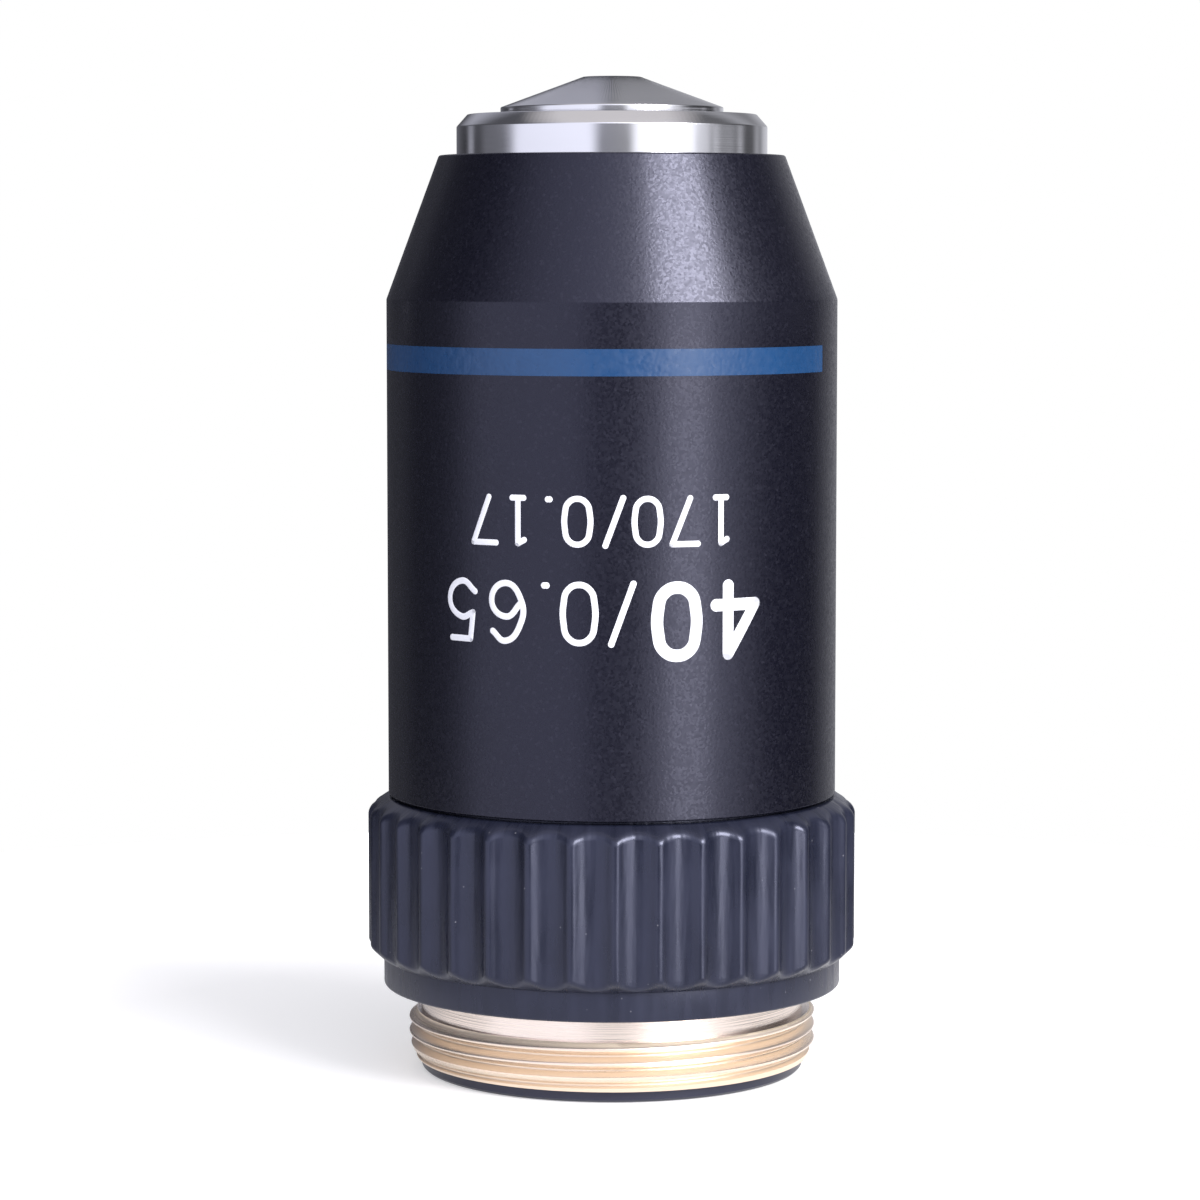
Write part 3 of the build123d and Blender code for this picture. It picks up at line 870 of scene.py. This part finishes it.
coats = {
    "bandEnamel": {
        "dark": (0.007, 0.040, 0.118, 1), "pale": (0.010, 0.052, 0.146, 1),
        "even": {"Specular IOR Level": 0.46},
        "grain": {"Grains per metre": 2600.0, "Patches per metre": 400.0},
        "roughness": (0.26, 0.42), "bump": (0.6, 0.00005)},
    "cellBlack": {
        "dark": (0.012, 0.012, 0.013, 1), "pale": (0.024, 0.023, 0.022, 1),
        "even": {"Specular IOR Level": 0.3},
        "grain": {"Grains per metre": 6000.0, "Patches per metre": 500.0},
        "roughness": (0.6, 0.8), "bump": (0.3, 0.00003)},
    "figureWhite": {
        "dark": (0.74, 0.75, 0.8, 1), "pale": (0.81, 0.82, 0.86, 1),
        "even": {"Specular IOR Level": 0.4},
        "grain": {"Grains per metre": 6500.0, "Patches per metre": 600.0},
        "roughness": (0.45, 0.6)},
}


def coated(name, c):
    # its colour follows the patches, its gloss and its bump the fine grain
    tree, surface, finish = newFinish(name, c["even"])
    grain = useGroup(tree, fineGrain, c["grain"])
    tree.links.new(mixColour(tree, grain["Patch"], c["dark"], c["pale"]), surface.inputs["Base Color"])
    tree.links.new(addRange(tree, grain["Height"], *middling, *c["roughness"]), surface.inputs["Roughness"])
    if "bump" in c:
        addBump(tree, surface, grain["Height"], *c["bump"])
    return finish


turnings = {
    "ringBlack": {
        "dark": anodised["dark"], "pale": anodised["pale"],
        "even": {"Specular IOR Level": 0.6, "Specular Tint": (0.8, 0.81, 1, 1)},
        "lines": 7000.0, "roughness": (0.28, 0.42), "bump": (0.2, 0.00002)},
    "noseSteel": {
        "dark": (0.66, 0.66, 0.68, 1), "pale": (0.74, 0.74, 0.76, 1), "even": {"Metallic": 1.0},
        "lines": 7000.0, "roughness": (0.1, 0.17), "bump": (0.25, 0.00001)},
    "springSteel": {
        "dark": (0.4, 0.4, 0.42, 1), "pale": (0.5, 0.5, 0.52, 1), "even": {"Metallic": 1.0},
        "lines": 3000.0, "roughness": (0.25, 0.35), "bump": (0.2, 0.00001)},
    "pinSteel": {
        "dark": (0.55, 0.55, 0.57, 1), "pale": (0.62, 0.62, 0.64, 1), "even": {"Metallic": 1.0},
        "lines": 5000.0, "roughness": (0.18, 0.28), "bump": (0.2, 0.00001)},
    "seatBrass": {
        "dark": (0.72, 0.53, 0.3, 1), "pale": (0.8, 0.6, 0.36, 1), "even": {"Metallic": 1.0},
        "lines": 6000.0, "roughness": (0.22, 0.32), "bump": (0.2, 0.00001)},
}


def turned(name, t):
    # its colour and gloss follow the wide lines of the lathe, its bump the fine ones
    tree, surface, finish = newFinish(name, t["even"])
    lines = useGroup(tree, turnedLines, {"Lines per metre": t["lines"]})
    tree.links.new(mixColour(tree, lines["Wide"], t["dark"], t["pale"]), surface.inputs["Base Color"])
    tree.links.new(addRange(tree, lines["Wide"], *middling, *t["roughness"]), surface.inputs["Roughness"])
    addBump(tree, surface, lines["Height"], *t["bump"])
    return finish


brass = {
    "dark": (0.88, 0.76, 0.67, 1), "pale": (0.94, 0.83, 0.75, 1),
    # painted shade: the flank colour, a deeper gold, is painted on the flanks and in the roots; painted
    # light: the run-out colour, paler, is painted under the neck, where the collar shades it
    "flank": (0.82, 0.67, 0.53, 1), "runOut": (1.0, 0.85, 0.66, 1),
    "belowCrest": (0.16, 0.03), "deep": (1.0, 0.45),  # down to, and how much of the flank's colour
    # the run-out's mask sets both how dull it is and how much painted light it gets
    "belowEnd": (0.35, 0.1), "dull": (0.2, 0.8),  # under the thread's upper end, and how dull
    "even": {"Metallic": 1.0},  # for readers that can't follow the link to this socket
    "lines": 14000.0, "roughness": (0.16, 0.22), "rougherThread": 0.08, "bump": (0.8, 0.00002),
}


def threadBrass(t, b):
    # bright on the crests, and painted shade: a deeper gold on the flanks and in the roots
    tree, surface, finish = newFinish("threadBrass", t["even"])
    lines = useGroup(tree, turnedLines, {"Lines per metre": t["lines"]})
    x, y, z = splitPlace(tree, objectPlace(tree))
    root, tip = [(b["crest"] - depth) * mm for depth in t["belowCrest"]]
    below = addRange(tree, fromAxis(tree, x, y), root, tip, *t["deep"])
    onThread = addMath(tree, "LESS_THAN", z, b["high"] * mm)
    deep = addMath(tree, "MULTIPLY", below, onThread)
    shade = mixColour(tree, lines["Wide"], t["dark"], t["pale"])
    # the run-out under the neck, in the collar's shade, is made less metallic and gets painted light: a
    # paler colour
    start, end = [(b["high"] - depth) * mm for depth in t["belowEnd"]]
    dull = addRange(tree, z, start, end, *t["dull"])
    flank = mixColour(tree, dull, t["flank"], t["runOut"])
    tree.links.new(mixColour(tree, deep, shade, flank), surface.inputs["Base Color"])
    bright = addMath(tree, "SUBTRACT", 1.0, addMath(tree, "MULTIPLY", deep, dull))
    tree.links.new(bright, surface.inputs["Metallic"])
    smooth = addRange(tree, lines["Wide"], *middling, *t["roughness"])
    rough = addMath(tree, "ADD", smooth, addMath(tree, "MULTIPLY", onThread, t["rougherThread"]))
    tree.links.new(rough, surface.inputs["Roughness"])
    addBump(tree, surface, lines["Height"], *t["bump"])
    return finish


glass = {
    "even": {"Base Color": (0.93, 0.97, 0.98, 1), "Transmission Weight": 1.0, "IOR": 1.6,
             "Coat Weight": 0.4, "Coat Roughness": 0.02},
    "grain": {"Grains per metre": 900.0, "Patches per metre": 200.0}, "roughness": (0.0, 0.02),
}


def lensGlass(g):
    tree, surface, finish = newFinish("lensGlass", g["even"])
    grain = useGroup(tree, fineGrain, g["grain"])
    tree.links.new(addRange(tree, grain["Patch"], *middling, *g["roughness"]), surface.inputs["Roughness"])
    return finish


finishes = {
    "barrelPaint": barrelPaint(paint), "collarBlack": collarBlack(anodised),
    "threadBrass": threadBrass(brass, bush), "lensGlass": lensGlass(glass),
}
for name in coats:
    finishes[name] = coated(name, coats[name])
for name in turnings:
    finishes[name] = turned(name, turnings[name])

dressing = {
    "barrelPaint": ["barrelShell"], "bandEnamel": ["bandEnamel"], "collarBlack": ["collarKnurl"],
    "threadBrass": ["threadBush"], "noseSteel": ["noseTube", "noseCone"], "springSteel": ["returnSpring"],
    "pinSteel": ["guide_pin"], "seatBrass": ["spring_seat"], "ringBlack": ["rear_stop_ring"],
    "figureWhite": ["smallFigures", "lightFigures", "boldFigures"],
    "cellBlack": ["meniscus_cell", "front_doublet_cell", "rear_doublet_cell", "front_spacer",
                  "rear_spacer", "pupil_stop", "lens_lock_ring"],
    "lensGlass": ["front_lens", "meniscus_lens", "front_doublet_crown", "front_doublet_flint",
                  "rear_doublet_crown", "rear_doublet_flint"],
}
for finishName, pieceNames in dressing.items():
    for name in pieceNames:
        piece = nodes[name] if name in nodes else bpy.data.objects[name]
        piece.data.materials.clear()
        piece.data.materials.append(finishes[finishName])
print("finishes given to", sum(len(names) for names in dressing.values()), "pieces")


# Studio: a pale floor that runs out to white, two soft boxes, a room to mirror, and the camera of the photo

studio = {
    "floor": (0.7, 0.7, 0.705, 1), "floorRadius": 0.08, "seen": (0.45, 1.0), "seenReach": (0.03, 0.078),
    # the floor's painted light for mirror rays, strongest near the foot
    "mirrored": (0.4, 0.1), "mirroredReach": (0.011, 0.022),
    "thinned": 0.3, "thinnedReach": (0.02, 0.03), "clearReach": (0.048, 0.07),
    "aim": (0, 0, 0.03),  # the middle of the barrel, where both boxes point
    "keyBox": {"turn": 44, "far": 0.377, "rise": 0.275, "wide": 0.25, "tall": 0.17, "watts": 2.3,
               "tint": (1, 0.985, 0.97)},
    "sideBox": {"turn": 38, "far": 0.38, "rise": 0.0, "wide": 0.15, "tall": 0.16, "watts": 0.28,
                "tint": (1, 0.985, 0.99)},
}


def hangBox(name, box, aim):
    # an area lamp at a turn round the object from the camera's side
    turn = radians(box["turn"])
    place = Vector((box["far"] * sin(turn), -box["far"] * cos(turn), box["rise"]))
    light = bpy.data.lights.new(name, "AREA")
    light.shape = "RECTANGLE"
    light.size = box["wide"]
    light.size_y = box["tall"]
    light.energy = box["watts"]
    light.color = box["tint"]
    lamp = bpy.data.objects.new(name, light)
    lamp.location = place
    lamp.rotation_euler = (Vector(aim) - place).to_track_quat("-Z", "Y").to_euler()
    lamp.visible_camera = False
    bpy.context.collection.objects.link(lamp)


def seenStraight(tree, rays):
    # 1 for what the camera sees by itself or through glass
    return addMath(tree, "MAXIMUM", rays["Is Camera Ray"], rays["Is Transmission Ray"])


def layFloor(s):
    under = 0.00005  # so that it doesn't share a plane with the rear face
    startAlone()
    bpy.ops.mesh.primitive_circle_add(
        vertices=128, radius=s["floorRadius"], fill_type="NGON", location=(0, 0, -under))
    floor = settle("paleFloor")
    tree, surface, finish = newFinish("paleFloor", {
        "Base Color": s["floor"], "Roughness": 0.9, "Specular IOR Level": 0.1,
        "Emission Color": (1, 1, 1, 1)})
    # the camera sees it run out to white, with the object's shadow left round its foot
    length = tree.nodes.new("ShaderNodeVectorMath")
    length.operation = "LENGTH"
    tree.links.new(objectPlace(tree), length.inputs[0])
    away = length.outputs["Value"]
    rays = tree.nodes.new("ShaderNodeLightPath").outputs
    whitened = addRange(tree, away, *s["seenReach"], *s["seen"])
    seen = addMath(tree, "MULTIPLY", seenStraight(tree, rays), whitened)
    # painted light: near the foot the floor glows for mirror rays only, a pool of light that the metal
    # mirrors where the foot's shadow lies
    mirrored = addRange(tree, away, *s["mirroredReach"], *s["mirrored"])
    glow = addMath(tree, "ADD", seen, addMath(tree, "MULTIPLY", rays["Is Glossy Ray"], mirrored))
    tree.links.new(glow, surface.inputs["Emission Strength"])
    # further out the object mirrors the room through it, so that its sides look alike from top to bottom
    thinned = addRange(tree, away, *s["thinnedReach"], 0.0, s["thinned"])
    gone = addRange(tree, away, *s["clearReach"], 0.0, 1.0 - s["thinned"])
    clear = addMath(tree, "MULTIPLY", rays["Is Glossy Ray"], addMath(tree, "ADD", thinned, gone))
    both = tree.nodes.new("ShaderNodeMixShader")
    tree.links.new(clear, both.inputs["Fac"])
    tree.links.new(surface.outputs[0], both.inputs[1])
    tree.links.new(tree.nodes.new("ShaderNodeBsdfTransparent").outputs[0], both.inputs[2])
    tree.links.new(both.outputs[0], tree.nodes["Material Output"].inputs["Surface"])
    floor.data.materials.append(finish)


for boxName in ("keyBox", "sideBox"):
    hangBox(boxName, studio[boxName], studio["aim"])
layFloor(studio)

# The room that the metal mirrors. Each wall is (degrees round the object, level of light), with 0 on the
# camera's side and 90 on its right. The reaches are heights in the room, from 0 level to 1 overhead.

room = {
    "leftTint": (0.935, 0.945, 1.09), "rightTint": (0.96, 0.965, 1.04), "ceiling": (0.8, 0.77, 0.79, 1),
    "upperReach": (0.2, 0.4), "ceilingReach": (0.79, 0.93),
    "stripesStart": (0.0, 0.01), "stripesEnd": (0.07, 0.1),
    "walls": (
        (-180, 1.0), (-176, 0.1), (-150, 0.1), (-134, 0.16), (-120, 0.09), (-112, 0.1), (-96, 0.17),
        (-88, 0.28), (-80, 0.6), (-70, 1.2), (-16, 1.3), (-8, 0.35), (12, 0.4), (18, 1.5), (62, 1.5),
        (66, 1.0), (75, 0.6), (82, 0.2), (90, 0.06), (125, 0.05), (134, 0.3), (150, 0.45), (176, 0.5),
        (180, 1.0)),
    "upperWalls": (
        (-180, 0.28), (-175, 0.5), (-150, 0.45), (-130, 0.1), (-90, 0.1), (-75, 0.2), (-45, 1.0),
        (-10, 1.5), (15, 2.1), (65, 1.9), (84, 0.6), (100, 0.15), (125, 0.15), (139, 0.45), (152, 0.25),
        (166, 0.38), (176, 0.38), (180, 0.28)),
    "stripes": (
        (-180, 1.0), (-176, 0.2), (-152, 0.1), (-139, 0.05), (-134, 0.12), (-131, 0.4), (-126, 0.4),
        (-122, 0.09), (-115, 0.09), (-107, 0.2), (-87, 0.2), (-81, 0.4), (-74, 1.15), (-16, 1.3),
        (-8, 0.35), (12, 0.4), (18, 1.5), (62, 1.5), (65, 0.95), (75, 0.85), (78, 0.42), (82, 0.85),
        (88, 0.42), (98, 0.46), (104, 0.28), (109, 0.65), (116, 0.13), (127, 0.13), (135, 0.45),
        (142, 0.28), (152, 0.62), (180, 0.8)),
}


def paintWall(tree, around, r, wall):
    ramp = tree.nodes.new("ShaderNodeValToRGB")
    tree.links.new(around, ramp.inputs[0])
    while len(ramp.color_ramp.elements) < len(wall):
        ramp.color_ramp.elements.new(0.5)
    for element, (turn, level) in zip(ramp.color_ramp.elements, wall):
        element.position = (turn + 180) / 360
        tint = r["leftTint"] if turn < 0 else r["rightTint"]
        element.color = [level * one for one in tint] + [1]
    return ramp.outputs[0]


def paintRoom(r):
    world = bpy.data.worlds.new("studioRoom")
    bpy.context.scene.world = world
    world.use_nodes = True
    tree = world.node_tree
    x, y, z = splitPlace(tree, tree.nodes.new("ShaderNodeTexCoord").outputs["Generated"])
    turn = addMath(tree, "ARCTAN2", x, addMath(tree, "MULTIPLY", y, -1.0))
    around = addRange(tree, turn, -pi, pi, 0.0, 1.0)
    walls = paintWall(tree, around, r, r["walls"])
    upperWalls = paintWall(tree, around, r, r["upperWalls"])
    stripes = paintWall(tree, around, r, r["stripes"])
    shown = mixColour(tree, addRange(tree, z, *r["upperReach"], 0.0, 1.0), walls, upperWalls)
    # a band of stripes just above level, which the steel mirrors and the paint blurs away
    starting = addRange(tree, z, *r["stripesStart"], 0.0, 1.0)
    ending = addRange(tree, z, *r["stripesEnd"], 1.0, 0.0)
    shown = mixColour(tree, addMath(tree, "MULTIPLY", starting, ending), shown, stripes)
    shown = mixColour(tree, addRange(tree, z, *r["ceilingReach"], 0.0, 1.0), shown, r["ceiling"])
    straight = seenStraight(tree, tree.nodes.new("ShaderNodeLightPath").outputs)
    background = tree.nodes["Background"]
    tree.links.new(mixColour(tree, straight, shown, (1, 1, 1, 1)), background.inputs["Color"])
    background.inputs["Strength"].default_value = 1.0


paintRoom(room)

view = {
    "place": (-0.000587, -0.1983, 0.04120), "tilt": 84.83, "lens": 120.39, "sensor": 36, "closest": 0.01,
}
lens = bpy.data.cameras.new("photoCamera")
lens.lens = view["lens"]
lens.sensor_width = view["sensor"]
lens.clip_start = view["closest"]
camera = bpy.data.objects.new("photoCamera", lens)
camera.location = view["place"]
camera.rotation_euler = (radians(view["tilt"]), 0, 0)
bpy.context.collection.objects.link(camera)
scene = bpy.context.scene
scene.camera = camera
scene.view_settings.view_transform = "Standard"
print("studio ready")
